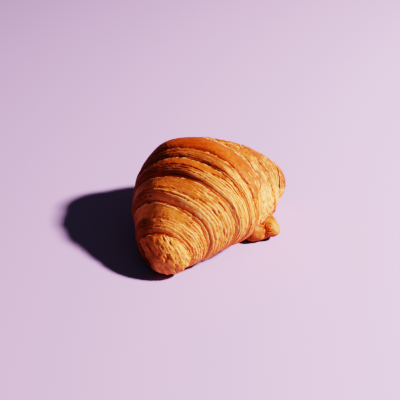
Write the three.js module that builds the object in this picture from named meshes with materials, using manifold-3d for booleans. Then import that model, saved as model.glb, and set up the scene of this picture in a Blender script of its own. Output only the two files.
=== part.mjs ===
import * as THREE from 'three';
import { mergeVertices } from 'three/addons/utils/BufferGeometryUtils.js';
import Module from 'manifold-3d';

// A plump butter croissant, one solid. Millimetres, +Z up, resting on Z = 0.
// X runs along the roll, from the near horn (-X) to the far shoulder (+X). -Y is the inside of the curl.

// Length of the roll on each side of its middle
const NEAR_LENGTH = 52;
const FAR_LENGTH = 61;

// A place along the roll is u: -1 at the near horn, 0 at the middle, +1 at the far end.
// Half width of the roll at each such place
const HALF_WIDTH = [
  [-1, 11.4], [-0.78, 18.2], [-0.52, 29.4], [-0.26, 37.2], [0, 40.3],
  [0.22, 36.9], [0.42, 31.8], [0.62, 26.4], [0.8, 19.6], [1, 13.2],
];

// How tightly the centre line turns towards the inside of the curl, per mm
const TURN = [[-1, -0.01], [-0.5, 0.005], [0, 0.009], [0.5, 0.003], [1, 0.058]];

// Height of a section over its width, at the middle and at the ends
const MIDDLE_SQUASH = 0.742;
const END_SQUASH = 0.867;

// Height of a section's centre over its own half height: under 1, so that the base is pressed flat
const SEAT = 0.97;

// How much of the end's half width its rounding takes, and how blunt the rounding is
const CAP_LENGTH = 0.9;
const CAP_BLUNTNESS = 2.2;

// Cracks between the wraps of dough, from the near horn to the far end: the place of each at the top,
// its slant towards the inside of the curl, its bow on both sides, and its depth. A crack beyond the last
// wrap also has the angle in degrees past which it nearly closes on the inside of the curl
const CRACKS = [
  { at: -0.85, slant: 0.06, bow: 0.02, depth: 2.9 },
  { at: -0.63, slant: 0.005, bow: 0, depth: 2.9 },
  { at: -0.4, slant: 0.075, bow: -0.03, depth: 2.8 },
  { at: -0.2, slant: 0.135, bow: -0.1, depth: 2.4 },
  { at: -0.065, slant: 0.145, bow: -0.095, depth: 1.9 },
  { at: 0.25, slant: 0.13, bow: 0.02, depth: 1 },
  { at: 0.57, slant: -0.07, bow: 0.02, depth: 2, closes: -50 },
  { at: 0.905, slant: 0.03, bow: 0.012, depth: 1.5, closes: 70 },
];
const NEAR_CRACKS = 5;

// The last wrap ends in a blunt tongue on the inside of the curl: where its tip lies round the section,
// the turn over which it narrows and sinks, the tip's width as a change of place, and how far it stands up.
// Past the tip the wrap's edge is lost in the crust, and on the base it is back in its own place
const TONGUE_TIP = THREE.MathUtils.degToRad(67);
const TONGUE_FADE = THREE.MathUtils.degToRad(14);
const TONGUE_TIP_WIDTH = 0.1;
const TONGUE_LIFT = 1.0;
const PAST_TONGUE = [THREE.MathUtils.degToRad(110), THREE.MathUtils.degToRad(150)];

// Across one wrap, which is a step: the share of the cut layers that rise at its foot and of the rolled
// edge at its crack, how far the layers rise, and how far the skin falls from foot to crack so that its
// tread is nearly level. Both are over the depth of the crack
const CUT_LAYERS = 0.42;
const EDGE = 0.07;
const CUT_RISE = 1.75;
const SKIN_FALL = 0.9;

// The cut layers' share of the last wrap, which is wider
const LAST_CUT_LAYERS = 0.16;

// How far the near horn's lobe swells on the inside of the curl, and the last wrap on the outside
const HORN_SWELL = 2.4;
const BACK_SWELL = 1.9;

// A crack's depth at the base over its depth on top
const CRACK_AT_BASE = 0.35;

// The near cracks are shallower on the inside of the curl: the share of their depth that is left there,
// and the angles between which it falls to that
const INSIDE_DEPTH = 0.55;
const INSIDE_TURN = [THREE.MathUtils.degToRad(5), THREE.MathUtils.degToRad(50)];

// The share of its depth that is left where a far crack has closed, and the turn over which it closes
const CLOSED_DEPTH = 0.25;
const CLOSING_TURN = THREE.MathUtils.degToRad(35);

// Unevenness of the hand-rolled dough: waves along the roll and round it, each with its height
const LUMPS = [
  { height: 0.55, along: 5.1, round: 2, start: 0.6 },
  { height: 0.4, along: 9.7, round: -3, start: 1.9 },
  { height: 0.3, along: 15.3, round: 5, start: 0 },
];

// The far horn's tip, tucked under the inside of the curl: lobes, each with its centre, its half length,
// half width and half height, and the direction in plan that its length takes, in degrees from +X
const TIP_LOBES = [
  { x: 23.4, y: -30.4, z: 6.5, length: 9, width: 5.9, height: 5.4, heading: 72 },
  { x: 15, y: -26, z: 5, length: 9.5, width: 6.4, height: 5.6, heading: -50 },
  { x: 18.5, y: -29.4, z: 5, length: 8, width: 5.6, height: 5, heading: -20 },
  { x: 29, y: -18, z: 7, length: 12, width: 8, height: 7, heading: 60 },
];

// Fineness of the mesh
const ROUND_STEPS = 54;
const ROWS_IN_WRAP = [0, 0.07, 0.16, 0.27, 0.4, 0.54, 0.68, 0.82, 0.92, 0.97];
const CAP_ROWS = 9;
const LOBE_STEPS = 20;
const CENTRE_LINE_STEPS = 60;

const CRUST = { color: 0xc47a33, roughness: 0.55, metalness: 0 };

// Straight lines through a list of [place, value] stations
function straight(stations, at) {
  const last = stations.length - 1;
  let i = 0;
  while (i < last - 1 && at > stations[i + 1][0]) i += 1;
  const [a, from] = stations[i];
  const [b, to] = stations[i + 1];
  return THREE.MathUtils.lerp(from, to, THREE.MathUtils.clamp((at - a) / (b - a), 0, 1));
}

// A smooth line through such stations, which never swings past them
function smooth(stations, at) {
  const gaps = stations.slice(1).map(([x], i) => x - stations[i][0]);
  const slopes = stations.slice(1).map(([, y], i) => (y - stations[i][1]) / gaps[i]);
  const tangents = stations.map((_, i) => {
    if (i === 0) return slopes[0];
    if (i === slopes.length) return slopes[i - 1];
    if (slopes[i - 1] * slopes[i] <= 0) return 0;
    const before = 2 * gaps[i] + gaps[i - 1];
    const after = gaps[i] + 2 * gaps[i - 1];
    return (before + after) / (before / slopes[i - 1] + after / slopes[i]);
  });
  let i = 0;
  while (i < slopes.length - 1 && at > stations[i + 1][0]) i += 1;
  const t = THREE.MathUtils.clamp((at - stations[i][0]) / gaps[i], 0, 1);
  const [y0, y1] = [stations[i][1], stations[i + 1][1]];
  return (2 * t ** 3 - 3 * t ** 2 + 1) * y0 + (t ** 3 - 2 * t ** 2 + t) * gaps[i] * tangents[i]
    + (3 * t ** 2 - 2 * t ** 3) * y1 + (t ** 3 - t ** 2) * gaps[i] * tangents[i + 1];
}

// The centre line in plan, summed in small steps from the middle outwards
function centreLine(u) {
  const length = u < 0 ? NEAR_LENGTH : FAR_LENGTH;
  const steps = Math.max(1, Math.ceil(Math.abs(u) * CENTRE_LINE_STEPS));
  const step = (u * length) / steps;
  const point = { x: 0, y: 0, heading: 0 };
  for (let i = 0; i < steps; i += 1) {
    const turn = straight(TURN, (u * (i + 0.5)) / steps) * step;
    point.x += Math.cos(point.heading - turn / 2) * step;
    point.y += Math.sin(point.heading - turn / 2) * step;
    point.heading -= turn;
  }
  return point;
}

// Where crack number k runs, at the angle around the section: 0 is the top, a quarter turn the inside
function crackAt(k, angle) {
  const { at, slant, bow } = CRACKS[k];
  const place = at + slant * Math.sin(angle) + bow * (1 - Math.cos(angle));
  if (k !== NEAR_CRACKS) return place;
  const narrowed = (1 - tongueShare(angle)) * (1 - THREE.MathUtils.smoothstep(angle, ...PAST_TONGUE));
  return THREE.MathUtils.lerp(place, crackAt(k - 1, angle) + TONGUE_TIP_WIDTH, narrowed);
}

// Height of the crust across one wrap, from the foot of its cut layers (0) to its rolled edge (1):
// -1 is the bottom of a crack
function wrapHeight(t) {
  const cut = 1 - (1 - Math.min(t / CUT_LAYERS, 1)) ** 2;
  const edge = THREE.MathUtils.smoothstep(t, 1 - EDGE, 1);
  const crust = -1 + CUT_RISE * cut - SKIN_FALL * t;
  return THREE.MathUtils.lerp(crust, -1, edge);
}

// Cracks are deepest on top and close up towards the base
function crackDepth(k, angle) {
  const top = Math.abs(Math.cos(angle / 2));
  const depth = CRACKS[k].depth * THREE.MathUtils.lerp(CRACK_AT_BASE, 1, top);
  if (k < NEAR_CRACKS) {
    const inside = THREE.MathUtils.smoothstep(angle, ...INSIDE_TURN);
    return depth * THREE.MathUtils.lerp(1, INSIDE_DEPTH, inside);
  }
  if (k === NEAR_CRACKS) return depth * tongueShare(angle);
  const closes = THREE.MathUtils.degToRad(CRACKS[k].closes);
  const closed = THREE.MathUtils.smoothstep(angle, closes, closes + CLOSING_TURN);
  return depth * THREE.MathUtils.lerp(1, CLOSED_DEPTH, closed);
}

// 1 on the tongue's length, 0 beyond its tip
function tongueShare(angle) {
  return 1 - THREE.MathUtils.smoothstep(angle, TONGUE_TIP - TONGUE_FADE, TONGUE_TIP);
}

// Relief of the crust at wrap number w (0 is the near horn's lobe) and share t across it
function relief(w, t, angle) {
  const isLastWrap = w === NEAR_CRACKS;
  if (isLastWrap) {
    const foot = crackDepth(w - 1, angle) * (1 - Math.min(t / LAST_CUT_LAYERS, 1)) ** 2;
    const edge = crackDepth(w, angle) * THREE.MathUtils.smoothstep(t, 1 - EDGE, 1);
    const lift = TONGUE_LIFT * tongueShare(angle) * Math.sin(Math.PI * t);
    const swell = BACK_SWELL * Math.max(-Math.sin(angle), 0) ** 1.5 * (1 - (2 * t - 1) ** 4);
    return lift + swell - foot - edge;
  }
  const isNear = w < NEAR_CRACKS;
  const across = isNear ? t : 1 - t;
  const foot = isNear ? w - 1 : w;
  const ridge = isNear ? w : w - 1;
  const swell = w === 0 ? HORN_SWELL * Math.max(Math.sin(angle), 0) * (1 - t ** 4) : 0;
  const depthAtFoot = CRACKS[foot] ? crackDepth(foot, angle) : 0;
  const depthAtRidge = CRACKS[ridge] ? crackDepth(ridge, angle) : 0;
  return swell + THREE.MathUtils.lerp(depthAtFoot, depthAtRidge, across) * wrapHeight(across);
}

// The unevenness fades out towards both ends
function lumps(u, angle) {
  const wave = ({ height, along, round, start }) => height * Math.sin(along * u + round * angle + start);
  return (1 - u * u) * LUMPS.reduce((sum, lump) => sum + wave(lump), 0);
}

// A point of the crust: wrap number w, share t across it, and angle around the section
function crustPoint(w, t, angle) {
  const from = w === 0 ? -1 : crackAt(w - 1, angle);
  const to = w === CRACKS.length ? 1 : crackAt(w, angle);
  const u = THREE.MathUtils.lerp(from, to, t);
  const length = u < 0 ? NEAR_LENGTH : FAR_LENGTH;
  const endWidth = smooth(HALF_WIDTH, Math.sign(u));
  const capShare = (CAP_LENGTH * endWidth) / length;
  const intoCap = THREE.MathUtils.clamp((Math.abs(u) - (1 - capShare)) / capShare, 0, 1);
  const cap = Math.sqrt(1 - intoCap ** CAP_BLUNTNESS);
  const halfWidth = smooth(HALF_WIDTH, u);
  const radius = (halfWidth + relief(w, t, angle) + lumps(u, angle)) * cap;
  const squash = THREE.MathUtils.lerp(MIDDLE_SQUASH, END_SQUASH, Math.abs(u) ** 1.5);
  const centre = centreLine(u);
  const side = radius * Math.sin(angle);
  const height = squash * (SEAT * halfWidth + radius * Math.cos(angle));
  return new THREE.Vector3(
    centre.x + Math.sin(centre.heading) * side,
    centre.y - Math.cos(centre.heading) * side,
    Math.max(height, 0),
  );
}

// Rows of the mesh from horn to horn, each a wrap number and the share across it
function rows() {
  const list = [];
  for (let w = 0; w <= CRACKS.length; w += 1) {
    const isEnd = w === 0 || w === CRACKS.length;
    if (isEnd) {
      for (let i = 0; i < CAP_ROWS; i += 1) {
        const eased = Math.sin((Math.PI / 2) * ((i + 0.5) / CAP_ROWS)) ** 2;
        list.push([w, eased]);
      }
    } else {
      const shares = w <= NEAR_CRACKS ? ROWS_IN_WRAP : ROWS_IN_WRAP.map((t) => 1 - t).reverse();
      shares.forEach((t) => list.push([w, t]));
    }
  }
  return list;
}

// A closed skin from rings of points and one point at each end
function closedSkin(rings, start, end) {
  const points = [start, ...rings.flat(), end];
  const round = rings[0].length;
  const faces = [];
  for (let j = 0; j < round; j += 1) {
    const next = (j + 1) % round;
    faces.push(0, 1 + next, 1 + j);
    for (let i = 0; i + 1 < rings.length; i += 1) {
      const [a, b] = [1 + i * round + j, 1 + i * round + next];
      faces.push(a, b, b + round, a, b + round, a + round);
    }
    const lastRing = 1 + (rings.length - 1) * round;
    faces.push(points.length - 1, lastRing + j, lastRing + next);
  }
  const geometry = new THREE.BufferGeometry();
  geometry.setAttribute('position', new THREE.Float32BufferAttribute(points.flatMap((p) => p.toArray()), 3));
  geometry.setIndex(faces);
  return geometry;
}

function bodySkin() {
  const angles = Array.from({ length: ROUND_STEPS }, (_, j) => (j / ROUND_STEPS) * 2 * Math.PI - Math.PI);
  const rings = rows().map(([w, t]) => angles.map((angle) => crustPoint(w, t, angle)));
  return closedSkin(rings, crustPoint(0, 0, 0), crustPoint(CRACKS.length, 1, 0));
}

function lobeSkin({ x, y, z, length, width, height, heading }) {
  const lobe = new THREE.SphereGeometry(1, LOBE_STEPS, LOBE_STEPS / 2);
  lobe.scale(length, width, height);
  lobe.rotateZ(THREE.MathUtils.degToRad(heading));
  lobe.translate(x, y, z);
  const place = lobe.getAttribute('position');
  for (let i = 0; i < place.count; i += 1) place.setZ(i, Math.max(place.getZ(i), 0));
  return lobe;
}

const wasm = await Module();
wasm.setup();

function toSolid(geometry) {
  geometry.deleteAttribute('normal');
  geometry.deleteAttribute('uv');
  const merged = mergeVertices(geometry, 1e-5);
  return new wasm.Manifold(new wasm.Mesh({
    numProp: 3,
    vertProperties: merged.getAttribute('position').array,
    triVerts: Uint32Array.from(merged.getIndex().array),
  }));
}

function toGeometry(solid) {
  const mesh = solid.getMesh();
  const geometry = new THREE.BufferGeometry();
  geometry.setAttribute('position', new THREE.BufferAttribute(mesh.vertProperties, 3));
  geometry.setIndex(new THREE.BufferAttribute(mesh.triVerts, 1));
  return geometry;
}

function croissant() {
  const solid = TIP_LOBES.reduce((whole, lobe) => whole.add(toSolid(lobeSkin(lobe))), toSolid(bodySkin()));
  const geometry = toGeometry(solid);
  geometry.computeBoundingBox();
  const middle = geometry.boundingBox.getCenter(new THREE.Vector3());
  geometry.translate(-middle.x, -middle.y, 0);
  geometry.computeVertexNormals();
  const mesh = new THREE.Mesh(geometry, new THREE.MeshStandardMaterial(CRUST));
  mesh.name = 'croissant';
  return mesh;
}

const part = new THREE.Group();
part.add(croissant());
export default part;
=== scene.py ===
"""A plump, curled croissant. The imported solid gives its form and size, and the crust here adds the thin
layers of dough, the smooth washed skins, ragged edges, cracks and flakes. Form sizes are millimetres."""

import math

import bpy
import numpy as np
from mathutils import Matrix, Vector


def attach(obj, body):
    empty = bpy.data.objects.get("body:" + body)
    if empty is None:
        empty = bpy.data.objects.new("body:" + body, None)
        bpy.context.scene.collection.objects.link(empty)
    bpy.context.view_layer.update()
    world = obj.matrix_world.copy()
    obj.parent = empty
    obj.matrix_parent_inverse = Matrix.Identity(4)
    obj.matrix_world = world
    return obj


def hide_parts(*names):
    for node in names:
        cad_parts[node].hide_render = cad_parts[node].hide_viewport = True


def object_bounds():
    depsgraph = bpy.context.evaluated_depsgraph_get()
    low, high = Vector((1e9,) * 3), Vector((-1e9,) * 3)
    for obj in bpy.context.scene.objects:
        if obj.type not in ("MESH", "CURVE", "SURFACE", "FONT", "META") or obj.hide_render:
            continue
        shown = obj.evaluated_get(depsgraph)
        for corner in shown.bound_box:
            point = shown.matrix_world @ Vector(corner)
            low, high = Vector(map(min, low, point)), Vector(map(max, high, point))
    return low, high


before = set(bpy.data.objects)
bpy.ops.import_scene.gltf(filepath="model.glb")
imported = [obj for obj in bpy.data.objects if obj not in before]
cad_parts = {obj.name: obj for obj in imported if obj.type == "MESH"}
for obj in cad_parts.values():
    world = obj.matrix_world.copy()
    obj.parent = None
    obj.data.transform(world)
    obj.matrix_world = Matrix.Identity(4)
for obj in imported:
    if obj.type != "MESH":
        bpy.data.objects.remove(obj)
cad_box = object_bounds()

MM = 0.001

# The random tables: what every one of them starts from, and their sizes. The width of a cell's rim
SEED = 11
NOISE_SIZE = 256
CELLS_SIZE = 64
CELL_RIM = 0.25

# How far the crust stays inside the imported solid's box, as a share of its size
BOX_INSET = 0.999

# Length of the roll on each side of its middle
NEAR_LENGTH = 52.0
FAR_LENGTH = 61.0

# A place along the roll is u: -1 at the near horn, 0 at the middle, +1 at the far end.
# Half width of the roll at each such place
HALF_WIDTH = [
    (-1, 11.4), (-0.78, 18.2), (-0.52, 29.4), (-0.26, 37.2), (0, 40.3),
    (0.22, 36.9), (0.42, 31.8), (0.62, 26.4), (0.8, 19.6), (1, 13.2),
]

# How tightly the centre line turns towards the inside of the curl, per mm, and the steps that sum it up
TURN = [(-1, -0.01), (-0.5, 0.005), (0, 0.009), (0.5, 0.003), (1, 0.058)]
CENTRE_STEPS = 800

# Height of a section over its width, at the middle and at the ends, how late it changes between them,
# and how far the base is pressed flat
MIDDLE_SQUASH = 0.742
END_SQUASH = 0.867
SQUASH_POWER = 1.5
SEAT = 0.97

# The rounding of both ends
CAP_LENGTH = 0.9
CAP_BLUNTNESS = 2.2

# Cracks between the wraps of dough, from the near horn to the far end: the place of each at the top,
# its slant towards the inside of the curl, its bow on both sides, and its depth. A crack beyond the last
# wrap also has the angle in degrees past which it nearly closes on the inside of the curl
CRACKS = [
    {"at": -0.85, "slant": 0.06, "bow": 0.02, "depth": 2.9},
    {"at": -0.63, "slant": 0.005, "bow": 0, "depth": 2.9},
    {"at": -0.4, "slant": 0.075, "bow": -0.03, "depth": 2.8},
    {"at": -0.2, "slant": 0.135, "bow": -0.1, "depth": 2.4},
    {"at": -0.065, "slant": 0.145, "bow": -0.095, "depth": 1.9},
    {"at": 0.25, "slant": 0.13, "bow": 0.02, "depth": 1},
    {"at": 0.57, "slant": -0.07, "bow": 0.02, "depth": 2, "closes": -50},
    {"at": 0.905, "slant": 0.03, "bow": 0.012, "depth": 1.5, "closes": 70},
]
NEAR_CRACKS = 5

# How far a crack strays from its smooth line, as a change of place, on each half, and how often for
# each radian
STRAY_NEAR = 0.006
STRAY_FAR = 0.016
STRAYS = 7

# The last wrap's tongue on the inside of the curl: its tip's place round the section and the turn over
# which it narrows, the tip's width as a change of place, how far it stands up, and the angles between
# which the wrap's lost edge goes back to its own place on the base
TONGUE_TIP = math.radians(67)
TONGUE_FADE = math.radians(14)
TONGUE_TIP_WIDTH = 0.1
TONGUE_LIFT = 1.0
PAST_TONGUE = (math.radians(110), math.radians(150))

# The relief across one wrap: the share across it that the cut layers take up, here and on the last wrap,
# the share of its edge, and the rise of the cut layers and fall of the skin over the crack's depth
CUT_LAYERS = 0.42
LAST_CUT_LAYERS = 0.16
EDGE = 0.07
CUT_RISE = 1.75
SKIN_FALL = 0.9

# How far the near horn swells on the inside of the curl, and the last wrap on the outside
HORN_SWELL = 2.4
BACK_SWELL = 1.9

# The share of its depth that a crack keeps at the base, that a near one keeps on the inside of the curl,
# and that one keeps once it has closed, with the turns over which they change
CRACK_AT_BASE = 0.35
INSIDE_DEPTH = 0.55
INSIDE_TURN = (math.radians(5), math.radians(50))
CLOSED_DEPTH = 0.25
CLOSING_TURN = math.radians(35)

# Unevenness of the hand-rolled dough: waves along the roll and round it, each with its height
LUMPS = [
    {"height": 0.55, "along": 5.1, "round": 2, "start": 0.6},
    {"height": 0.4, "along": 9.7, "round": -3, "start": 1.9},
    {"height": 0.3, "along": 15.3, "round": 5, "start": 0},
]

# The far horn's tip, tucked under the inside of the curl
TIP_LOBES = [
    {"place": (23.4, -30.4, 6.5), "half": (9, 5.9, 5.4), "heading": 72},
    {"place": (15, -26, 5), "half": (9.5, 6.4, 5.6), "heading": -50},
    {"place": (18.5, -29.4, 5), "half": (8, 5.6, 5), "heading": -20},
    {"place": (29, -18, 7), "half": (12, 8, 7), "heading": 60},
]

# How clearly each lobe shows the rings of the coiled dough, which way the coil's middle faces, and the
# rings' spacing in mm
COILS = (1, 0.2, 0.2, 0.2)
COIL_AZIMUTH = -52
COIL_ELEVATION = 42
COIL_PITCH = 1.35

# How far the rings sway, a gap's half width in rings from its middle to its rim, and how clear the
# faintest gap is
COIL_SWAY = 0.5
RING_GAP_HALF = (0.02, 0.3)
FAINT_RING = 0.2

# The lobes' fine relief: their crust, the gaps between the rings, flakes and dents
LOBE_CRUST = 0.2
LOBE_GAP = 0.55
LOBE_FLAKES = 0.35
LOBE_DENTS = 1.2

# The lobes' looks: how much skin a clear coil lacks and the random values between which the skin shows,
# how well gaps show, as painted shade, and how much of them the skin hides, how pale flakes are and the
# values between which they show, how brown the layers of a clear coil are and how much darker all others,
# as painted shadow of the roll over the tucked lobes, and how deeply the skin is coloured, partly as
# painted shadow
COIL_BARE = 0.6
LOBE_SKIN_SHOWS = (-0.1, 0.2)
LOBE_GAP_SHOWS = 0.9
LOBE_SKIN_HIDES = 0.3
LOBE_FLAKE_PALE = 0.5
LOBE_FLAKE_SHOWS = (0.15, 0.5)
COIL_BAKED = 0.5
TUCKED_LOBE_SHADE = 0.4
LOBE_DEEP_AND_SHADE = 0.9

# Fineness of the crust's mesh: steps round the crust that shows, steps round the flat base, the angle
# where the base starts, rows across each wrap, how much closer they lie by the cracks and at the ends,
# and the rows and columns of each lobe
CRUST_STEPS = 520
BASE_STEPS = 28
BASE_ANGLE = math.radians(132)
WRAP_ROWS = [56, 60, 62, 56, 42, 84, 76, 72, 30]
ROWS_BY_CRACKS = 0.06
ROWS_AT_ENDS = 1.5
LOBE_ROWS = 72
LOBE_COLUMNS = 96

# Fine relief fades out over this turn before it would reach the flat base
OFF_BASE_TURN = (math.radians(138), math.radians(160))

# A wrap's usual width. The material's streaks are laid out by it, so that each wrap has its own
WRAP_PITCH = 12

# The thin layers of dough that show at the foot of each wrap: their spacing, how far they stand out,
# the depth of the gaps between them, the fewest on a wrap, and a gap's half width in layers from its
# middle to its rim
LAYER = 1.05
LAYER_RELIEF = 0.32
LAYER_GAP = 1.0
FEWEST_LAYERS = 3
GAP_HALF = (0.02, 0.26)

# How far the layers wander, in layers, over what length along a wrap, and how much of such a wave one
# layer takes up: slow drift and quick ripples
DRIFT = 0.8
DRIFT_LENGTH = 34
DRIFT_LAYER = 0.12
RIPPLE = 0.22
RIPPLE_LENGTH = 8
RIPPLE_LAYER = 0.45

# The lengths over which one layer's gap, height and tone change, the random values between which a gap
# opens, and how clear the faintest is
GAP_RUN = 17
HEIGHT_RUN = 26
TONE_RUN = 12
GAP_OPENS = (0.32, 0.72)
FAINT_GAP = 0.12

# The layers that show over the rounded ends: their spacing and their depth, over those elsewhere, and
# the azimuths and elevations of the ways along them and across them
END_LAYER = 1.4
END_DEPTH = 0.55
GRAIN_ALONG = (176, 43)
GRAIN_ACROSS = (62, 23)

# How much paler the layers are at the foot of each near wrap, partly pale flakes and partly painted light
# on the foot that faces away from the light, the shares across it over which that ends, and the turn over
# which they grow pale
FOOT_PALE = 0.4
FOOT_ACROSS = (0.05, 0.4)
FOOT_TURN = (math.radians(-20), math.radians(25))

# The washed skin over them: its thickness, the height of its blisters, and the length along a wrap and
# width across it of the broad ones and the small ones
SKIN = 0.32
BLISTER = 0.17
BROAD_BLISTER = (6, 4)
SMALL_BLISTER = (1.6, 1.3)

# The skin's ragged border, in shares across the wrap: its waves and its teeth, their lengths in mm, and
# how soft it is on both sides. Where the skin has run out, its border lies past the wrap's edge
BORDER_WAVES = 0.08
WAVE_LENGTH = 7
BORDER_TEETH = 0.04
TOOTH_LENGTH = 1.5
BORDER_SOFT = (-0.01, 0.03)
RUN_OUT = 1.1

# A chip of the skin has flaked off where its random value is under a level: the least level, what a
# fully broken skin adds to it, and what the inside of the curl adds, over this turn
BROKEN_LEAST = 0.12
BROKEN_MORE = 0.5
BROKEN_INSIDE = 0.22
BROKEN_TURN = (math.radians(15), math.radians(55))

# How much each chip's own value counts against that of the patch round it, the patches' length and width,
# how far the chips' outlines sway and over what length and width, how soft the outlines are, and how much
# skin is left at them
CHIP_OWN = 0.55
PATCH = (14, 4)
CHIP_SWAY = 0.6
CHIP_SWAYS = (5, 3)
CHIP_SOFT = (-0.015, 0.025)
CHIP_RIM = 0.8

# The flakes that the skin breaks into: their usual length along a wrap and width across it
FLAKE_LENGTH = 4.6
FLAKE_WIDTH = 1.9

# The cut layers' own flakes: how far the flat plates stand up, the length and width of the curled ones
# and their height, and the values between which a flake turns pale
PLATE_RISE = 0.35
CURLED = (3.4, 0.9)
CURLED_RISE = 0.16
FLAKE_SHOWS = (0.55, 0.95)

# The layers are darker on the outside of the curl, partly browned and partly painted shade on the side
# turned from the light, and turn pale on top, over this turn and along a line that sways by this much, so
# often for each radian and along the roll. The darkened ones hide their flakes by this share
PALE_OVER = math.radians(24)
PALE_SWAY = 0.2
PALE_SWAYS = (5, 12)
SHADE_HIDES = 0.75

# Low on the outside of the curl, on the side turned from the light, all of the skin is darkened as
# painted shade
PAINTED_SHADE_TURN = (math.radians(45), math.radians(100))

# On the inside of the curl the far wraps turn pale too, over this turn
PALE_TURN = (math.radians(40), math.radians(85))

# The cracks are darkened at the bottom, as painted shade with some darker baked dough, between these
# shares of their depth and where they are at least between these depths. The near ones keep this much of
# it on the inside of the curl
CRACK_BOTTOM = (0.7, 0.99)
CRACK_DEEP = (0.4, 1.4)
CRACK_INSIDE = 0.7

# Mottled flaking, where the layers lie flat: its patches along a wrap and across it, their height, how
# much of the layers' tone they take over and with what contrast, how much of the gaps they hide, and how
# much of their height the skin shows
MOTTLE_LENGTH = 3.4
MOTTLE_WIDTH = 2.0
MOTTLE_RISE = 0.65
MOTTLE_TONE = 0.85
MOTTLE_CONTRAST = 1.5
MOTTLE_HIDES = 0.5
MOTTLE_IN_SKIN = 0.5

# Pale flecks where the skin has blistered open: how pale, their length and width, the values between
# which they show, and the turn over which they set in
FLECKS = 0.75
FLECK = (2.2, 1.3)
FLECK_SHOWS = (0.16, 0.42)
FLECK_TURN = (math.radians(-5), math.radians(45))

# The underside is darker, partly browned by the tray and partly painted shade under the belly. It takes
# over between these angles, and later inside the curl
UNDER_LATER = math.radians(12)
UNDER_TURN = (math.radians(112), math.radians(130))

# At the rounded ends it takes over, as painted shade on their low outer side, between these heights, on
# the outside of the curl, over this width.
# The usual underside stops there, as the section narrows between these shares of its full width
UNDER_HEIGHT = (6, 24)
UNDER_OUTSIDE = 6
UNDER_NARROWS = (0.7, 1.0)

# Heights over which the base's dark rim ends, partly browned and partly painted contact shadow, and over
# which the lobes' darker underside ends, painted contact shade as well
BASE_RIM = 1.2
LOBE_UNDER = (1.0, 2.6)

# The torn edge of the skin along each crack: the shares across the wrap where it starts and ends, how
# soft both are, how far it stands up, evenly and by its teeth, and how jagged it is
TORN_FROM = 0.895
TORN_TO = 0.955
TORN_SOFT = 0.02
TORN_RISE = 0.5
TORN_EVEN = 0.4
TORN_TEETH = 0.9
TORN_JAG = 0.6

# The torn edge's long and short teeth, the pieces that show pale and the values between which they do,
# and the shares of its full depth between which a crack opens far enough to have a torn edge
LONG_TEETH = 2.4
SHORT_TEETH = 1.2
TORN_RUN = 3.1
TORN_SHOWS = (0.2, 0.75)
OPEN_EDGE = (0.3, 0.8)

# The skin of each wrap. It starts at the share "from" across the wrap on top, and runs out at the
# angles "inside" and "outside" of the curl, over the turn "over". "broken" is how much of it has flaked
# off, "pale" the angle where the layers' browning and painted shade give way to pale, then how brown and
# shaded they are on the inside of the curl, partly as painted shade, "deep" how deeply the skin is
# coloured, kept light on the near wraps as painted light where the light only grazes them, and "mottled"
# how much the wrap is broken into flakes
SKINS = [
    {"from": 0.1, "inside": 150, "outside": -150, "over": 45, "broken": 0.55,
     "pale": -45, "brown_and_shade": 0, "deep": 0, "mottled": 0.8},
    {"from": 0.5, "inside": 62, "outside": -125, "over": 45, "broken": 0.16,
     "pale": -18, "brown_and_shade": 0, "deep": 0, "mottled": 0.4},
    {"from": 0.44, "inside": 66, "outside": -125, "over": 40, "broken": 0.06,
     "pale": -30, "brown_and_shade": 0, "deep": 0.45, "mottled": 0.2},
    {"from": 0.55, "inside": 58, "outside": -125, "over": 45, "broken": 0.08,
     "pale": 22, "brown_and_shade": 0, "deep": 0.75, "mottled": 0.1},
    {"from": 0.8, "inside": 60, "outside": -135, "over": 40, "broken": 0.1,
     "pale": 30, "brown_and_shade": 0.25, "deep": 0.6, "mottled": 0.1},
    {"from": 0.02, "inside": 70, "outside": -165, "over": 6, "broken": 0,
     "pale": 10, "brown_and_shade": 0.3, "deep": 1, "mottled": 0.4},
    {"from": 0.05, "inside": 75, "outside": -165, "over": 60, "broken": 0.7,
     "pale": 0, "brown_and_shade": 0.85, "deep": 0.9, "mottled": 1},
    {"from": 0.1, "inside": 60, "outside": -150, "over": 50, "broken": 0.62,
     "pale": 0, "brown_and_shade": 0.85, "deep": 0.9, "mottled": 1},
    {"from": 0.15, "inside": 70, "outside": -130, "over": 30, "broken": 0.5,
     "pale": 0, "brown_and_shade": 0.85, "deep": 0.8, "mottled": 0.8},
]


# Numbers used by every form: noise, smooth lines and directions


def smoothstep(value, low, high):
    share = np.clip((value - low) / (high - low), 0, 1)
    return share * share * (3 - 2 * share)


def lerp(a, b, share):
    return a + (b - a) * share


def noise(x, y, seed):
    """Smooth random values from 0 to 1 over a plane, one random value for each unit square's corner."""
    table = np.random.RandomState(SEED + seed).rand(NOISE_SIZE, NOISE_SIZE)
    x0 = np.floor(x).astype(int)
    y0 = np.floor(y).astype(int)
    fx = x - x0
    fy = y - y0
    fx = fx * fx * (3 - 2 * fx)
    fy = fy * fy * (3 - 2 * fy)

    def corner(dx, dy):
        return table[(x0 + dx) % NOISE_SIZE, (y0 + dy) % NOISE_SIZE]

    near = lerp(corner(0, 0), corner(1, 0), fx)
    far = lerp(corner(0, 1), corner(1, 1), fx)
    return lerp(near, far, fy)


def rough(x, y, seed, octaves=3):
    """Noise at several sizes, from -1 to 1. The shifts only keep the sizes apart."""
    total = 0
    height = 1
    reach = 0
    for octave in range(octaves):
        total = total + height * (2 * noise(x, y, seed + octave) - 1)
        reach += height
        height *= 0.5
        x = x * 2.03 + 17.1
        y = y * 2.03 + 5.7
    return total / reach


def rough_line(x, row, seed, octaves=3):
    """Noise at several sizes along one line of the plane, from -1 to 1."""
    return rough(x, np.full_like(x, row), seed, octaves)


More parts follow.
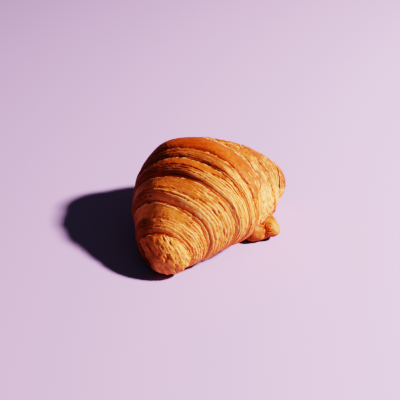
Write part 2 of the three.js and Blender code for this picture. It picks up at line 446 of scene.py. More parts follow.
def cells(x, y, seed):
    """Uneven cells of unit size over a plane: each cell's random value, and 0 to 1 from its rim in."""
    table = np.random.RandomState(SEED + seed).rand(CELLS_SIZE, CELLS_SIZE, 3)
    x0 = np.floor(x).astype(int)
    y0 = np.floor(y).astype(int)
    nearest = np.full(x.shape, 9.0)
    second = np.full(x.shape, 9.0)
    value = np.zeros(x.shape)
    for dx in (-1, 0, 1):
        for dy in (-1, 0, 1):
            jitter = table[(x0 + dx) % CELLS_SIZE, (y0 + dy) % CELLS_SIZE]
            distance = np.hypot(x0 + dx + jitter[..., 0] - x, y0 + dy + jitter[..., 1] - y)
            second = np.minimum(second, np.maximum(nearest, distance))
            value = np.where(distance < nearest, jitter[..., 2], value)
            nearest = np.minimum(nearest, distance)
    return value, smoothstep(second - nearest, 0.0, CELL_RIM)


def smooth_line(stations, at):
    """A smooth line through (place, value) stations, which never swings past them."""
    x = np.array([s[0] for s in stations], float)
    y = np.array([s[1] for s in stations], float)
    gaps = np.diff(x)
    slopes = np.diff(y) / gaps
    tangents = np.concatenate([slopes[:1], np.zeros(len(x) - 2), slopes[-1:]])
    for i in range(1, len(x) - 1):
        if slopes[i - 1] * slopes[i] > 0:
            before = 2 * gaps[i] + gaps[i - 1]
            after = gaps[i] + 2 * gaps[i - 1]
            tangents[i] = (before + after) / (before / slopes[i - 1] + after / slopes[i])
    i = np.clip(np.searchsorted(x, at) - 1, 0, len(gaps) - 1)
    t = np.clip((at - x[i]) / gaps[i], 0, 1)
    start = (2 * t**3 - 3 * t**2 + 1) * y[i] + (t**3 - 2 * t**2 + t) * gaps[i] * tangents[i]
    end = (3 * t**2 - 2 * t**3) * y[i + 1] + (t**3 - t**2) * gaps[i] * tangents[i + 1]
    return start + end


def centre_line(u):
    """The centre line in plan at u: x, y and heading, summed in small steps from the middle outwards."""
    places = np.linspace(-1, 1, 2 * CENTRE_STEPS + 1)
    middles = (places[1:] + places[:-1]) / 2
    gap = np.diff(places) * np.where(middles < 0, NEAR_LENGTH, FAR_LENGTH)
    turn = np.interp(middles, [s[0] for s in TURN], [s[1] for s in TURN]) * gap
    heading = -np.concatenate([[0], np.cumsum(turn)])
    heading -= heading[CENTRE_STEPS]
    halfway = (heading[1:] + heading[:-1]) / 2
    x = np.concatenate([[0], np.cumsum(np.cos(halfway) * gap)])
    y = np.concatenate([[0], np.cumsum(np.sin(halfway) * gap)])
    x -= x[CENTRE_STEPS]
    y -= y[CENTRE_STEPS]
    return np.interp(u, places, x), np.interp(u, places, y), np.interp(u, places, heading)


def direction(azimuth, elevation):
    """The way from the middle towards what lies there, in degrees. Azimuth 0 is towards -Y."""
    a = math.radians(azimuth)
    e = math.radians(elevation)
    return Vector((math.sin(a) * math.cos(e), -math.cos(a) * math.cos(e), math.sin(e)))


# The form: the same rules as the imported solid


def crack_at(k, angle):
    """The place along the roll of crack k, at each angle round it."""
    crack = CRACKS[k]
    stray = STRAY_NEAR if k <= NEAR_CRACKS else STRAY_FAR
    ragged = stray * rough_line(angle * STRAYS, k * 9.3, 3)
    place = crack["at"] + crack["slant"] * np.sin(angle) + crack["bow"] * (1 - np.cos(angle)) + ragged
    if k != NEAR_CRACKS:
        return place
    narrowed = (1 - tongue_share(angle)) * (1 - smoothstep(angle, *PAST_TONGUE))
    return lerp(place, crack_at(k - 1, angle) + TONGUE_TIP_WIDTH, narrowed)


def tongue_share(angle):
    """1 where the last wrap's tongue has its full width, 0 past its tip."""
    return 1 - smoothstep(angle, TONGUE_TIP - TONGUE_FADE, TONGUE_TIP)


def crack_depth(k, angle):
    """How deep crack k is at each angle round the roll. There is none beyond both ends."""
    if not 0 <= k < len(CRACKS):
        return 0 * angle
    depth = CRACKS[k]["depth"] * lerp(CRACK_AT_BASE, 1, np.abs(np.cos(angle / 2)))
    if k < NEAR_CRACKS:
        return depth * lerp(1, INSIDE_DEPTH, smoothstep(angle, *INSIDE_TURN))
    if k == NEAR_CRACKS:
        return depth * tongue_share(angle)
    closes = math.radians(CRACKS[k]["closes"])
    return depth * lerp(1, CLOSED_DEPTH, smoothstep(angle, closes, closes + CLOSING_TURN))


def wrap_height(t):
    """A wrap's height at share t across it, in depths of its crack: -1 at the bottom of the crack."""
    cut = 1 - (1 - np.minimum(t / CUT_LAYERS, 1)) ** 2
    return lerp(-1 + CUT_RISE * cut - SKIN_FALL * t, -1, smoothstep(t, 1 - EDGE, 1))


def relief(w, t, angle):
    """The large relief of wrap w at share t along it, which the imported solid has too."""
    if w == NEAR_CRACKS:
        foot = crack_depth(w - 1, angle) * (1 - np.minimum(t / LAST_CUT_LAYERS, 1)) ** 2
        edge = crack_depth(w, angle) * smoothstep(t, 1 - EDGE, 1)
        lift = TONGUE_LIFT * tongue_share(angle) * np.sin(np.pi * t)
        swell = BACK_SWELL * np.maximum(-np.sin(angle), 0) ** 1.5 * (1 - (2 * t - 1) ** 4)
        return lift + swell - foot - edge
    is_near = w < NEAR_CRACKS
    across = t if is_near else 1 - t
    foot = w - 1 if is_near else w
    ridge = w if is_near else w - 1
    swell = HORN_SWELL * np.maximum(np.sin(angle), 0) * (1 - t**4) if w == 0 else 0
    depth = lerp(crack_depth(foot, angle), crack_depth(ridge, angle), across)
    return swell + depth * wrap_height(across)


def lumps(u, angle):
    """The unevenness of the dough, which dies out towards both ends."""
    waves = 0
    for lump in LUMPS:
        waves = waves + lump["height"] * np.sin(lump["along"] * u + lump["round"] * angle + lump["start"])
    return (1 - u * u) * waves


def is_end(w):
    """True for the wrap at each end of the roll, which is rounded off."""
    return w in (0, len(CRACKS))


def off_base(angle):
    """1 on the crust that shows, 0 on the flat base."""
    return 1 - smoothstep(np.abs(angle), *OFF_BASE_TURN)


def skin_share(w, across, angle, along, deep):
    """1 on a wrap's smooth, washed skin, 0 on its cut layers and where a chip of it has flaked off."""
    skin = SKINS[w]
    over = math.radians(skin["over"])
    inside = math.radians(skin["inside"])
    outside = math.radians(-skin["outside"])
    out_inside = smoothstep(angle, inside - over, inside)
    out_outside = smoothstep(-angle, outside - over, outside)
    waves = BORDER_WAVES * rough_line(along / WAVE_LENGTH, 7.7 * w, 21)
    teeth = BORDER_TEETH * rough_line(along / TOOTH_LENGTH, w, 24)
    border = lerp(skin["from"], RUN_OUT, np.maximum(out_inside, out_outside)) + waves + teeth
    whole = smoothstep(across, border + BORDER_SOFT[0], border + BORDER_SOFT[1])
    sway = CHIP_SWAY * rough(along / CHIP_SWAYS[0], deep / CHIP_SWAYS[1] + 7 * w, 25)
    chip, rim = cells(along / FLAKE_LENGTH + 9 * w + sway, deep / FLAKE_WIDTH + sway, 26)
    patch = 0.5 + 0.5 * rough(along / PATCH[0] + 9 * w, deep / PATCH[1], 27)
    value = CHIP_OWN * chip + (1 - CHIP_OWN) * patch
    broken = BROKEN_MORE * skin["broken"]
    level = BROKEN_LEAST + broken + BROKEN_INSIDE * smoothstep(angle, *BROKEN_TURN)
    kept = smoothstep(value, level + CHIP_SOFT[0], level + CHIP_SOFT[1])
    return whole * kept * lerp(CHIP_RIM, 1, rim)


def layers(w, place, along):
    """Relief in mm of the stacked sheets of dough, with the shares of gap and tone.

    Place counts the sheets. The odd numbers only give each sheet and each wrap its own random values."""
    drift = DRIFT * rough(along / DRIFT_LENGTH + 3 * w, place * DRIFT_LAYER + w * 5.1, 31, 2)
    ripple = RIPPLE * rough(along / RIPPLE_LENGTH, place * RIPPLE_LAYER + w, 35, 2)
    place = place + (drift + ripple)
    number = np.floor(place)
    within = place - number
    strength = noise(number * 7.31 + w * 41, along / GAP_RUN + number * 1.7, 41)
    height = noise(number * 5.17 + w * 29, along / HEIGHT_RUN + number * 2.3, 43)
    tone = noise(number * 3.17 + w * 13, along / TONE_RUN + number * 2.9, 45)
    to_gap = np.minimum(within, 1 - within)
    gap = (1 - smoothstep(to_gap, *GAP_HALF)) * lerp(FAINT_GAP, 1, smoothstep(strength, *GAP_OPENS))
    relief_mm = LAYER_RELIEF * (2 * height - 1) - LAYER_GAP * gap
    return relief_mm, gap, tone


def edge_share(w, angle):
    """How much of its depth the crack along wrap w's torn edge still has."""
    k = w if w <= NEAR_CRACKS else w - 1
    return crack_depth(k, angle) / CRACKS[k]["depth"]


def grain_lines(w, across, width, angle, radius, points):
    """Distances in mm along the layers and across them.

    Over the rounded ends they run straight and slanted."""
    if is_end(w):
        return points @ np.array(direction(*GRAIN_ALONG)), points @ np.array(direction(*GRAIN_ACROSS))
    return angle * float(radius.mean()), across * width


def cut_layers(w, across, width, angle, along, deep, mottle):
    """Relief in mm of wrap w's cut layers, the shares of gap and tone, and how pale their flakes are."""
    mottled = SKINS[w]["mottled"]
    if is_end(w):
        cut, gap, tone = layers(w, deep / (END_LAYER * LAYER), along)
        cut = END_DEPTH * cut
        gap = END_DEPTH * gap
    else:
        sheets = max(FEWEST_LAYERS, round(float(np.mean(width)) / LAYER))
        cut, gap, tone = layers(w, across * sheets, along)
    tone = lerp(tone, np.clip(0.5 + MOTTLE_CONTRAST * mottle, 0, 1), MOTTLE_TONE * mottled)
    cut = cut + MOTTLE_RISE * mottle * mottled
    gap = gap * (1 - MOTTLE_HIDES * mottled)
    if 0 < w < NEAR_CRACKS:
        tone = tone + FOOT_PALE * (1 - smoothstep(across, *FOOT_ACROSS)) * smoothstep(angle, *FOOT_TURN)
    curled = rough(along / CURLED[0] + 5 * w, deep / CURLED[1], 47, 2)
    plate, plate_rim = cells(along / FLAKE_LENGTH + 3 * w, deep / LAYER + 0.4 * curled, 48)
    cut = cut + CURLED_RISE * curled + PLATE_RISE * (plate - 0.5) * plate_rim
    return cut, gap, tone, smoothstep(0.5 * curled + plate, *FLAKE_SHOWS)


def washed_skin(w, angle, along, deep, mottle):
    """Relief in mm of wrap w's washed skin, and how pale the flecks on it are."""
    mottled = SKINS[w]["mottled"]
    broad = rough(along / BROAD_BLISTER[0], deep / BROAD_BLISTER[1], 51)
    small = rough(along / SMALL_BLISTER[0], deep / SMALL_BLISTER[1], 55, 2)
    washed = SKIN + BLISTER * (broad + 0.5 * small) + MOTTLE_IN_SKIN * MOTTLE_RISE * mottle * mottled**3
    opened = smoothstep(rough(along / FLECK[0] + 4 * w, deep / FLECK[1], 131, 3), *FLECK_SHOWS)
    return washed, FLECKS * mottled**3 * opened * smoothstep(angle, *FLECK_TURN)


def torn_edge(w, across, angle, arc):
    """Shares of wrap w's torn edge and of the crack below it, the edge's teeth, and where it is pale."""
    open_edge = smoothstep(edge_share(w, angle), *OPEN_EDGE)
    starts = smoothstep(across, TORN_FROM, TORN_FROM + TORN_SOFT)
    ends = smoothstep(across, TORN_TO - TORN_SOFT, TORN_TO)
    torn = starts * (1 - ends) * open_edge
    long_teeth = rough_line(arc / LONG_TEETH, 3.3 * w, 61)
    short_teeth = rough_line(arc / SHORT_TEETH, 1.3 * w, 65, 1)
    jag = 0.5 * long_teeth + 0.5 * short_teeth
    pieces = noise(arc / TORN_RUN, np.full_like(arc, 5.5 * w), 71)
    pale = torn * smoothstep(pieces + 0.5 * jag, *TORN_SHOWS)
    # The crack below the edge is darkened in the material as painted shade
    below = open_edge * smoothstep(across, TORN_TO - TORN_SOFT / 2, TORN_TO + TORN_SOFT / 2)
    return torn, below, jag, pale


def wrap_detail(w, across, width, angle, radius, points):
    """Fine relief in mm, the jagged shift of the torn edge, and the masks that the material reads."""
    along, deep = grain_lines(w, across, width, angle, radius, points)
    mottle = rough(along / MOTTLE_LENGTH + 7 * w, deep / MOTTLE_WIDTH, 121, 3)
    skin = skin_share(w, across, angle, along, deep)
    cut, gap, tone, flakes = cut_layers(w, across, width, angle, along, deep, mottle)
    washed, flecks = washed_skin(w, angle, along, deep, mottle)
    torn, below, jag, pale_torn = torn_edge(w, across, angle, angle * float(radius.mean()))
    height = lerp(cut, washed, skin) + TORN_RISE * torn * (TORN_EVEN + TORN_TEETH * jag)
    # The gap and crack masks darken the recesses as painted shade
    masks = {
        "skin": skin,
        "gap": gap * (1 - skin),
        "tone": tone,
        "flake": np.maximum(flakes * (1 - skin), flecks),
        "roll": np.stack([deep + w * WRAP_PITCH, along, np.zeros_like(deep)], -1),
        "torn": pale_torn,
        "crack": below,
    }
    return height, TORN_JAG * torn * jag, masks


def wrap_rows():
    """(wrap, shares along it) from the near horn to the far end, closest together by the cracks."""
    rows = []
    for w, count in enumerate(WRAP_ROWS):
        even = np.arange(count) / count
        halfway = (np.arange(count) + 0.5) / count
        if w == 0:
            shares = np.sin(np.pi / 2 * halfway) ** ROWS_AT_ENDS
        elif is_end(w):
            shares = 1 - np.sin(np.pi / 2 * (1 - halfway)) ** ROWS_AT_ENDS
        else:
            shares = even - ROWS_BY_CRACKS * np.sin(2 * np.pi * even)
        rows.append((w, shares))
    return rows


def surface(u, half_width, radius, angle, outward):
    """Points at a radius round the centre line, pushed outward along it."""
    squash = lerp(MIDDLE_SQUASH, END_SQUASH, np.abs(u) ** SQUASH_POWER)
    x, y, heading = centre_line(u)
    side = radius * np.sin(angle)
    x = x + np.sin(heading) * side + np.cos(heading) * outward
    y = y - np.cos(heading) * side + np.sin(heading) * outward
    return np.stack([x, y, squash * (SEAT * half_width + radius * np.cos(angle))], -1)


def add_place_masks(masks, w, angle, u, form, height, side, cap):
    """Adds what the place on the croissant decides: cracks, browning, colour depth, underside, partly
    painted shade.
    """
    # The crack mask darkens the bottom of each crack as painted shade
    depth = crack_depth(w - 1 if w <= NEAR_CRACKS else w, angle)
    # The last number keeps the two limits apart where there is no crack
    bottom = smoothstep(-form, CRACK_BOTTOM[0] * depth, CRACK_BOTTOM[1] * depth + 0.01)
    masks["crack"] = np.maximum(masks["crack"], bottom * smoothstep(depth, *CRACK_DEEP))
    # Painted shade: the layers darken on the side turned from the light, with some browning
    pale = math.radians(SKINS[w]["pale"])
    swayed = angle + PALE_SWAY * rough(angle * PALE_SWAYS[0], u * PALE_SWAYS[1], 111)
    shade = 1 - smoothstep(swayed, pale - PALE_OVER, pale + PALE_OVER)
    masks["brown_and_shade"] = np.maximum(shade, SKINS[w]["brown_and_shade"] * (1 - smoothstep(angle, *PALE_TURN)))
    if w < NEAR_CRACKS:
        masks["crack"] = masks["crack"] * lerp(1, CRACK_INSIDE, smoothstep(angle, *INSIDE_TURN))
        masks["flake"] = masks["flake"] * (1 - SHADE_HIDES * shade)
    # Painted shade: the skin darkens low on the outside of the curl
    masks["deep"] = lerp(SKINS[w]["deep"], 1, smoothstep(-angle, *PAINTED_SHADE_TURN))
    # Painted contact shadow, with some browning, along the base's rim
    masks["base"] = 1 - smoothstep(height, 0.0, BASE_RIM)
    # Painted shade under the belly and at the ends, with some browning by the tray
    masks["under"] = smoothstep(np.where(angle > 0, angle - UNDER_LATER, -angle), *UNDER_TURN)
    if is_end(w):
        at_end = (1 - smoothstep(height, *UNDER_HEIGHT)) * (1 - smoothstep(side, 0, UNDER_OUTSIDE))
        masks["under"] = np.maximum(at_end, masks["under"] * smoothstep(cap, *UNDER_NARROWS))


def crust_block(w, shares, angles):
    """Points and masks of one wrap: arrays of rows by columns."""
    t, angle = np.meshgrid(shares, angles, indexing="ij")
    start = crack_at(w - 1, angle) if w > 0 else np.full_like(angle, -1)
    end = crack_at(w, angle) if w < len(CRACKS) else np.full_like(angle, 1)
    u = lerp(start, end, t)
    length = np.where(u < 0, NEAR_LENGTH, FAR_LENGTH)
    end_width = np.where(u < 0, HALF_WIDTH[0][1], HALF_WIDTH[-1][1])
    cap_share = CAP_LENGTH * end_width / length
    into_cap = np.clip((np.abs(u) - (1 - cap_share)) / cap_share, 0, 1)
    cap = np.sqrt(1 - into_cap**CAP_BLUNTNESS)
    half_width = smooth_line(HALF_WIDTH, u)
    form = relief(w, t, angle)
    smooth_radius = (half_width + form + lumps(u, angle)) * cap
    smooth_points = surface(u, half_width, smooth_radius, angle, 0)
    across = t if w <= NEAR_CRACKS else 1 - t
    width = (end - start) * length
    fine, jag, masks = wrap_detail(w, across, width, angle, smooth_radius, smooth_points)
    fine = fine * off_base(angle)
    outward = np.sign(u) * np.sqrt(1 - cap**2) * fine
    u = u + np.where(w <= NEAR_CRACKS, 1, -1) * jag * off_base(angle) / length
    points = surface(u, half_width, smooth_radius + fine * cap, angle, outward)
    height = points[..., 2].copy()
    points[..., 2] = np.maximum(height, 0)
    add_place_masks(masks, w, angle, u, form, height, smooth_radius * np.sin(angle), cap)
    return points, masks


def closed_skin(rings, masks):
    """Points, faces and masks of a closed skin from rings of points, with one point more at each end."""
    rows, columns = rings.shape[:2]
    points = np.concatenate([[rings[0].mean(0)], rings.reshape(-1, 3), [rings[-1].mean(0)]])
    here = 1 + np.arange(rows * columns).reshape(rows, columns)
    beside = np.roll(here, -1, axis=1)
    quads = np.stack([here[:-1], beside[:-1], beside[1:], here[1:]], -1).reshape(-1, 4)
    first = [(0, int(b), int(a)) for a, b in zip(here[0], beside[0])]
    last = [(len(points) - 1, int(a), int(b)) for a, b in zip(here[-1], beside[-1])]
    flat = {}
    for name, mask in masks.items():
        values = mask.reshape(-1, 3) if mask.ndim == 3 else mask.reshape(-1)
        flat[name] = np.concatenate([values[:1], values, values[-1:]])
    return points, [tuple(int(i) for i in quad) for quad in quads] + first + last, flat


def body_skin():
    """The whole roll: points, faces and the masks at each point."""
    crust = np.linspace(-BASE_ANGLE, BASE_ANGLE, CRUST_STEPS, endpoint=False)
    base = np.linspace(BASE_ANGLE, 2 * np.pi - BASE_ANGLE, BASE_STEPS, endpoint=False)
    angles = np.concatenate([crust, base])
    angles = np.where(angles > np.pi, angles - 2 * np.pi, angles)
    blocks = [crust_block(w, shares, angles) for w, shares in wrap_rows()]
    rings = np.concatenate([points for points, _ in blocks])
    masks = {name: np.concatenate([m[name] for _, m in blocks]) for name in blocks[0][1]}
    return closed_skin(rings, masks)


def lobe_skin(number, lobe):
    """One lobe of the tucked horn, with rings of layers round its end: points, faces and masks."""
    tilt = (np.arange(LOBE_ROWS) + 0.5) / LOBE_ROWS * np.pi
    turn = np.arange(LOBE_COLUMNS) / LOBE_COLUMNS * 2 * np.pi
    tilt, turn = np.meshgrid(tilt, turn, indexing="ij")
    half = np.array(lobe["half"])
    ends = np.stack([-np.cos(tilt), np.sin(tilt) * np.cos(turn), np.sin(tilt) * np.sin(turn)], -1)
    heading = math.radians(lobe["heading"])
    c = math.cos(heading)
    s = math.sin(heading)
    spin = np.array([[c, -s, 0], [s, c, 0], [0, 0, 1]])
    faced = np.clip(ends @ spin.T @ np.array(direction(COIL_AZIMUTH, COIL_ELEVATION)), -1, 1)
    along = np.arccos(faced) * half[1]
    sway = rough(3 + ends[..., 0] * 1.4, 3 + ends[..., 1] * 1.4 + ends[..., 2], 81 + number)
    place = along / COIL_PITCH + COIL_SWAY * sway
    ring = np.floor(place)
    within = place - ring
    strength = noise(ring * 5.3, 3 + ends[..., 1] * 2, 85 + number)
    to_gap = np.minimum(within, 1 - within)
    gap = (1 - smoothstep(to_gap, *RING_GAP_HALF)) * lerp(FAINT_RING, 1, strength) * COILS[number]
    flakes = rough(3 + np.cos(turn) * 2 + along / 2, 3 + np.sin(turn) * 2, 88 + number)
    dents = rough(4 + ends[..., 0] * 1.6 + number, 4 + ends[..., 1] * 1.6 + ends[..., 2], 98, 2)
    fine = LOBE_CRUST - LOBE_GAP * gap + LOBE_FLAKES * flakes + LOBE_DENTS * dents
    fade = np.sin(tilt) ** 0.5
    points = ends * (half + (fine * fade)[..., None])
    points = points @ spin.T + np.array(lobe["place"])
    height = points[..., 2].copy()
    points[..., 2] = np.maximum(height, 0)
    skin = (1 - COIL_BARE * COILS[number]) * smoothstep(flakes, *LOBE_SKIN_SHOWS)
    masks = {
        "skin": skin,
        "gap": LOBE_GAP_SHOWS * gap * (1 - LOBE_SKIN_HIDES * skin),
        "tone": noise(ring * 3.1, 3 + ends[..., 1] * 2, 95 + number),
        "flake": LOBE_FLAKE_PALE * smoothstep(-flakes, *LOBE_FLAKE_SHOWS),
        "torn": np.zeros_like(gap),
        "crack": np.zeros_like(gap),
        # Painted shadow of the roll darkens the tucked lobes, and painted contact shade their underside
        "brown_and_shade": np.full_like(gap, COIL_BAKED + TUCKED_LOBE_SHADE * (1 - COILS[number])),
        "deep": np.full_like(gap, LOBE_DEEP_AND_SHADE),
        "base": 1 - smoothstep(height, 0.0, BASE_RIM),
        "under": 1 - smoothstep(height, *LOBE_UNDER),
        "roll": np.stack([along, turn * half[1], np.zeros_like(along)], -1),
    }
    return closed_skin(points[:, ::-1], {name: mask[:, ::-1] for name, mask in masks.items()})


def fit_to_box(points):
    """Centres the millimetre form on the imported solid, in metres, and keeps it just inside its box."""
    low, high = (np.array(corner) for corner in cad_box)
    own_low = points.min(0) * MM
    own_high = points.max(0) * MM
    size = np.minimum((high - low) * BOX_INSET / (own_high - own_low), 1)
    middle = (own_low + own_high) / 2
    fitted = (points * MM - middle) * size
    fitted[:, :2] += (low[:2] + high[:2]) / 2
    fitted[:, 2] += low[2] - fitted[:, 2].min()
    return fitted


def mesh_object(name, points, faces, masks, material):
    """A smooth mesh with its masks as attributes."""
    mesh = bpy.data.meshes.new(name)
    mesh.from_pydata(points.tolist(), [], faces)
    for mask, values in masks.items():
        is_vector = values.ndim == 2
        attribute = mesh.attributes.new(mask, "FLOAT_VECTOR" if is_vector else "FLOAT", "POINT")
        attribute.data.foreach_set("vector" if is_vector else "value", values.astype(np.float32).ravel())
    mesh.polygons.foreach_set("use_smooth", [True] * len(mesh.polygons))
    mesh.materials.append(material)
    piece = bpy.data.objects.new(name, mesh)
    bpy.context.scene.collection.objects.link(piece)
    return piece


# Materials


class Nodes:
    """Short ways to build a material's node tree."""

    def __init__(self, name):
        self.material = bpy.data.materials.new(name)
        self.material.use_nodes = True
        self.tree = self.material.node_tree
        self.shader = self.tree.nodes["Principled BSDF"]

    def add(self, kind, **settings):
        node = self.tree.nodes.new(kind)
        for key, value in settings.items():
            setattr(node, key, value)
        return node

    def link(self, value, socket):
        """Feeds a socket with another node's output, or with a plain value."""
        if isinstance(value, bpy.types.NodeSocket):
            self.tree.links.new(value, socket)
        else:
            socket.default_value = value

    def mask(self, name, output="Fac"):
        """A mask of the mesh, by the name of its attribute."""
        return self.add("ShaderNodeAttribute", attribute_name=name).outputs[output]

    def scaled(self, value, factor):
        node = self.add("ShaderNodeMath", operation="MULTIPLY")
        self.link(value, node.inputs[0])
        self.link(factor, node.inputs[1])
        return node.outputs[0]

    def mix(self, share, a, b, blend="MIX"):
        node = self.add("ShaderNodeMix", data_type="RGBA", blend_type=blend)
        self.link(share, node.inputs["Factor"])
        self.link(a, node.inputs["A"])
        self.link(b, node.inputs["B"])
        return node.outputs["Result"]

    def blend_of(self, parts):
        """The sum of (value, weight) pairs."""
        total = 0.0
        for value, weight in parts:
            node = self.add("ShaderNodeMath", operation="MULTIPLY_ADD")
            self.link(value, node.inputs[0])
            self.link(weight, node.inputs[1])
            self.link(total, node.inputs[2])
            total = node.outputs[0]
        return total

    def ramp(self, value, stops):
        """A colour for each value, through (place, colour) stops."""
        node = self.add("ShaderNodeValToRGB")
        while len(node.color_ramp.elements) < len(stops):
            node.color_ramp.elements.new(0.5)
        for element, (place, color) in zip(node.color_ramp.elements, stops):
            element.position = place
            element.color = color
        self.link(value, node.inputs["Fac"])
        return node.outputs["Color"]

    def grain(self, vector, scale, detail, stretch=(1, 1, 1)):
        """Noise over a vector, with the vector stretched first."""
        mapping = self.add("ShaderNodeMapping")
        mapping.inputs["Scale"].default_value = stretch
        self.link(vector, mapping.inputs["Vector"])
        node = self.add("ShaderNodeTexNoise")
        node.inputs["Scale"].default_value = scale
        node.inputs["Detail"].default_value = detail
        self.link(mapping.outputs["Vector"], node.inputs["Vector"])
        return node.outputs["Fac"]


def srgb(red, green, blue):
    """A colour given as it looks on screen, 0 to 255, as the linear values that Blender mixes."""
    linear = []
    for value in (red, green, blue):
        share = value / 255
        linear.append(((share + 0.055) / 1.055) ** 2.4 if value > 10 else share / 12.92)
    return (*linear, 1.0)


# Colours of the washed skin and of the cut layers, from dark to pale: (tone, colour)
SKIN_COLORS = [(0.28, srgb(206, 102, 42)), (0.5, srgb(236, 130, 62)), (0.72, srgb(250, 152, 84))]
LAYER_COLORS = [(0.18, srgb(206, 104, 46)), (0.45, srgb(242, 134, 68)), (0.75, srgb(252, 156, 94))]

# Colours that cover those, one after the other: (mask that says where, how far it covers, colour). The
# gap and crack colours are painted shade in the recesses
COVERS = [
    ("flake", 0.5, srgb(255, 178, 122)),
    ("torn", 0.8, srgb(255, 188, 140)),
    ("gap", 0.75, srgb(140, 88, 50)),
    ("crack", 0.8, srgb(124, 92, 50)),
]

# Colours that the browned layers, the deeply coloured skin and the underside are multiplied by, each
# partly painted shade, and the colour of the base's rim, partly painted contact shadow, and how far it
# covers
BROWN_AND_SHADE_COLOR = srgb(168, 144, 106)
DEEP_AND_SHADE_COLOR = srgb(184, 144, 86)
UNDERSIDE_AND_SHADE_COLOR = srgb(130, 112, 62)
BASE_AND_CONTACT_SHADE_COLOR = srgb(104, 50, 24)
BASE_COVERS = 0.85

# Noise of the crust, per metre: broad blotches and fine grain. The streaks along the layers are laid out
# by the roll mask, in waves per mm across the layers and along them
BLOTCHES = 110
FINE_GRAIN = 900
STREAKS = (2.6, 0.16, 1)
BROAD_STREAKS = (0.7, 0.07, 1)

# The crust's shine and its finest relief, the relief's height in metres
LAYER_ROUGHNESS = 0.68
SKIN_ROUGHNESS = 0.48
SPECULAR = 0.25
BUMP = 0.6
BUMP_HEIGHT = 0.0006


def crust_material():
    """The baked crust: skin and layers in their own colours, covered and darkened by masks, partly
    painted shade.
    """
    nodes = Nodes("baked_crust")
    place = nodes.add("ShaderNodeTexCoord").outputs["Object"]
    roll = nodes.mask("roll", "Vector")
    tone = nodes.mask("tone")
    skin = nodes.mask("skin")
    blotches = nodes.grain(place, BLOTCHES, detail=3)
    fine = nodes.grain(place, FINE_GRAIN, detail=5)
    streaks = nodes.grain(roll, 1.0, detail=5, stretch=STREAKS)
    broad_streaks = nodes.grain(roll, 1.0, detail=3, stretch=BROAD_STREAKS)
    skin_tone = nodes.blend_of([(blotches, 0.3), (fine, 0.15), (broad_streaks, 0.3), (tone, 0.25)])
    skin_color = nodes.ramp(skin_tone, SKIN_COLORS)
    # The skin's own depth of colour, and painted shade low on the outside of the curl, darken the skin
    skin_color = nodes.mix(nodes.mask("deep"), skin_color, DEEP_AND_SHADE_COLOR, "MULTIPLY")
    layer_tone = nodes.blend_of([(tone, 0.5), (streaks, 0.35), (fine, 0.15)])
    layer_color = nodes.ramp(layer_tone, LAYER_COLORS)
    # Browning and painted shade on the side turned from the light darken the layers
    layer_color = nodes.mix(nodes.mask("brown_and_shade"), layer_color, BROWN_AND_SHADE_COLOR, "MULTIPLY")
    color = nodes.mix(skin, layer_color, skin_color)
    for mask, covers, cover_color in COVERS:
        color = nodes.mix(nodes.scaled(nodes.mask(mask), covers), color, cover_color)
    # Painted shade under the belly and at the ends, with some browning by the tray
    color = nodes.mix(nodes.mask("under"), color, UNDERSIDE_AND_SHADE_COLOR, "MULTIPLY")
    # Painted contact shadow along the base's rim, with some browning
    color = nodes.mix(nodes.scaled(nodes.mask("base"), BASE_COVERS), color, BASE_AND_CONTACT_SHADE_COLOR)
    nodes.link(color, nodes.shader.inputs["Base Color"])
    shine = nodes.add("ShaderNodeMapRange")
    shine.inputs["To Min"].default_value = LAYER_ROUGHNESS
    shine.inputs["To Max"].default_value = SKIN_ROUGHNESS
    nodes.link(skin, shine.inputs["Value"])
    nodes.link(shine.outputs["Result"], nodes.shader.inputs["Roughness"])
    nodes.shader.inputs["Specular IOR Level"].default_value = SPECULAR
    bump = nodes.add("ShaderNodeBump")
    bump.inputs["Strength"].default_value = BUMP
    bump.inputs["Distance"].default_value = BUMP_HEIGHT
    nodes.link(nodes.blend_of([(fine, 0.4), (streaks, 0.6)]), bump.inputs["Height"])
    nodes.link(bump.outputs["Normal"], nodes.shader.inputs["Normal"])
    return nodes.material


# The floor: half its width in metres, its colour and its roughness
FLOOR_HALF = 1.5
FLOOR_COLOR = srgb(182, 152, 194)
FLOOR_ROUGHNESS = 0.8


def floor_material():
    nodes = Nodes("pale_floor")
    nodes.shader.inputs["Base Color"].default_value = FLOOR_COLOR
    nodes.shader.inputs["Roughness"].default_value = FLOOR_ROUGHNESS
    return nodes.material


# Pieces


def make_croissant():
    """The roll and its tucked tip as one piece."""
    skins = [body_skin()] + [lobe_skin(number, lobe) for number, lobe in enumerate(TIP_LOBES)]
    faces = []
    count = 0
    for points, own_faces, _ in skins:
        faces += [tuple(i + count for i in face) for face in own_faces]
        count += len(points)
    points = fit_to_box(np.concatenate([s[0] for s in skins]))
    masks = {name: np.concatenate([s[2][name] for s in skins]) for name in skins[0][2]}
    piece = mesh_object("croissant_crust", points, faces, masks, crust_material())
    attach(piece, "root")
    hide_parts("croissant")


def make_floor():
    """The plain surface that the croissant lies on."""
    corners = [(x * FLOOR_HALF, y * FLOOR_HALF, 0) for x, y in ((-1, -1), (1, -1), (1, 1), (-1, 1))]
    mesh = bpy.data.meshes.new("floor")
    mesh.from_pydata(corners, [], [(0, 1, 2, 3)])
    mesh.materials.append(floor_material())
    floor = bpy.data.objects.new("floor", mesh)
    bpy.context.scene.collection.objects.link(floor)


# Camera and light, set round the middle of the roll

# The middle of the roll on the floor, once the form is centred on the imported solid's box
ROLL_MIDDLE = Vector((-5.84, -1.14, 0)) * MM

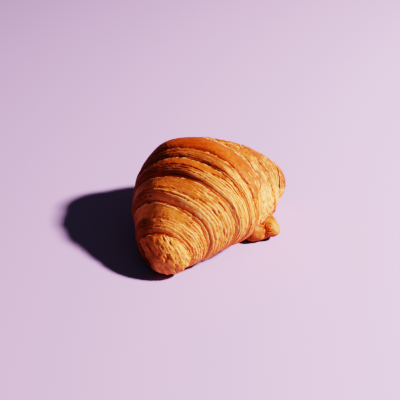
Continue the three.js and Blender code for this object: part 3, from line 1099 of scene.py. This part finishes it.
# The camera: its direction in degrees and distance in metres, its focal length in pixels of a picture
# this wide, and how far above and to the right of the roll's middle it aims, in metres
CAMERA_AZIMUTH = -47.1
CAMERA_ELEVATION = 38.5
CAMERA_DISTANCE = 0.442
FOCAL_PIXELS = 729
PICTURE_WIDTH = 400
SENSOR = 36
AIM_UP = 0.0181
AIM_RIGHT = -0.0026

# The faint light from all round
WORLD_COLOR = (0.78, 0.95, 1.0, 1)
WORLD_STRENGTH = 0.04

# The picture's exposure, in stops
EXPOSURE = 1.05


def make_camera():
    """The camera that sees the croissant as the picture shows it."""
    data = bpy.data.cameras.new("camera")
    data.sensor_width = SENSOR
    data.lens = FOCAL_PIXELS / PICTURE_WIDTH * SENSOR
    camera = bpy.data.objects.new("camera", data)
    bpy.context.scene.collection.objects.link(camera)
    back = direction(CAMERA_AZIMUTH, CAMERA_ELEVATION)
    turn = math.radians(CAMERA_AZIMUTH)
    right = Vector((math.cos(turn), math.sin(turn), 0))
    up = right.cross(-back)
    camera.location = ROLL_MIDDLE + back * CAMERA_DISTANCE
    aim = ROLL_MIDDLE + up * AIM_UP + right * AIM_RIGHT
    camera.rotation_euler = (aim - camera.location).to_track_quat("-Z", "Y").to_euler()
    bpy.context.scene.camera = camera


def make_light(name, azimuth, elevation, distance, size, watts, color):
    """A square light: direction in degrees, distance and size in metres."""
    data = bpy.data.lights.new(name, "AREA")
    data.size = size
    data.energy = watts
    data.color = color
    light = bpy.data.objects.new(name, data)
    bpy.context.scene.collection.objects.link(light)
    light.location = ROLL_MIDDLE + direction(azimuth, elevation) * distance
    light.rotation_euler = (ROLL_MIDDLE - light.location).to_track_quat("-Z", "Y").to_euler()


def make_world():
    world = bpy.data.worlds.new("studio")
    world.use_nodes = True
    background = world.node_tree.nodes["Background"]
    background.inputs["Color"].default_value = WORLD_COLOR
    background.inputs["Strength"].default_value = WORLD_STRENGTH
    bpy.context.scene.world = world


make_croissant()
make_floor()
make_camera()
make_light("key", azimuth=36, elevation=40, distance=1.2, size=0.1, watts=18, color=(1.0, 0.92, 0.88))
make_world()
view = bpy.context.scene.view_settings
view.view_transform = "Filmic"
view.look = "Very High Contrast"
view.exposure = EXPOSURE
